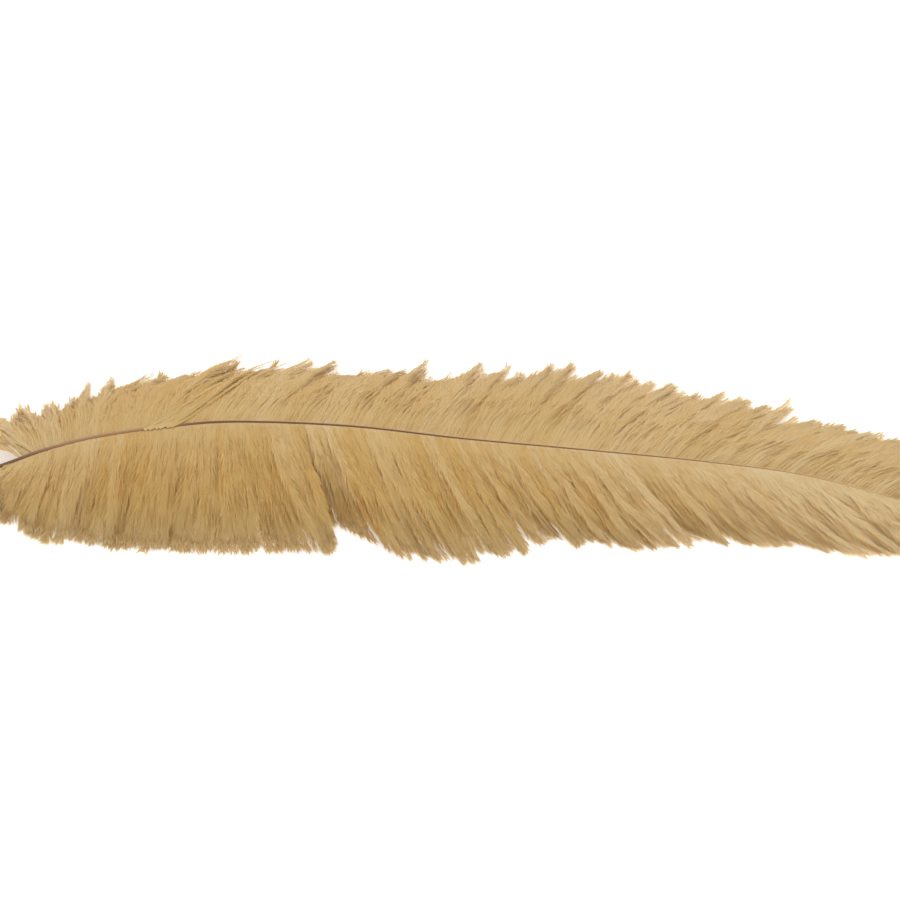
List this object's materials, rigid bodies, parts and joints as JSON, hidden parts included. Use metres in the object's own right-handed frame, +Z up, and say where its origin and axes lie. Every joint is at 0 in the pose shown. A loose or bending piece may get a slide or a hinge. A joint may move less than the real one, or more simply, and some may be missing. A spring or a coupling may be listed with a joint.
{
  "type": "ostrich feather",
  "caption": "Long soft plume that lies flat: a bare quill, an arched shaft, and fluffy vanes on both sides that sweep towards the tip and droop to the surface.",
  "frame": {"origin": "on the surface the feather lies on, under the middle of its bounding box", "axes": "+X from the quill towards the tip, +Z up, +Y towards the far vane"},
  "size_m": [0.6205, 0.1544, 0.0348],
  "materials": {
    "feather": "matte"
  },
  "bodies": {
    "root": {"feather": "feather"}
  },
  "joints": []
}
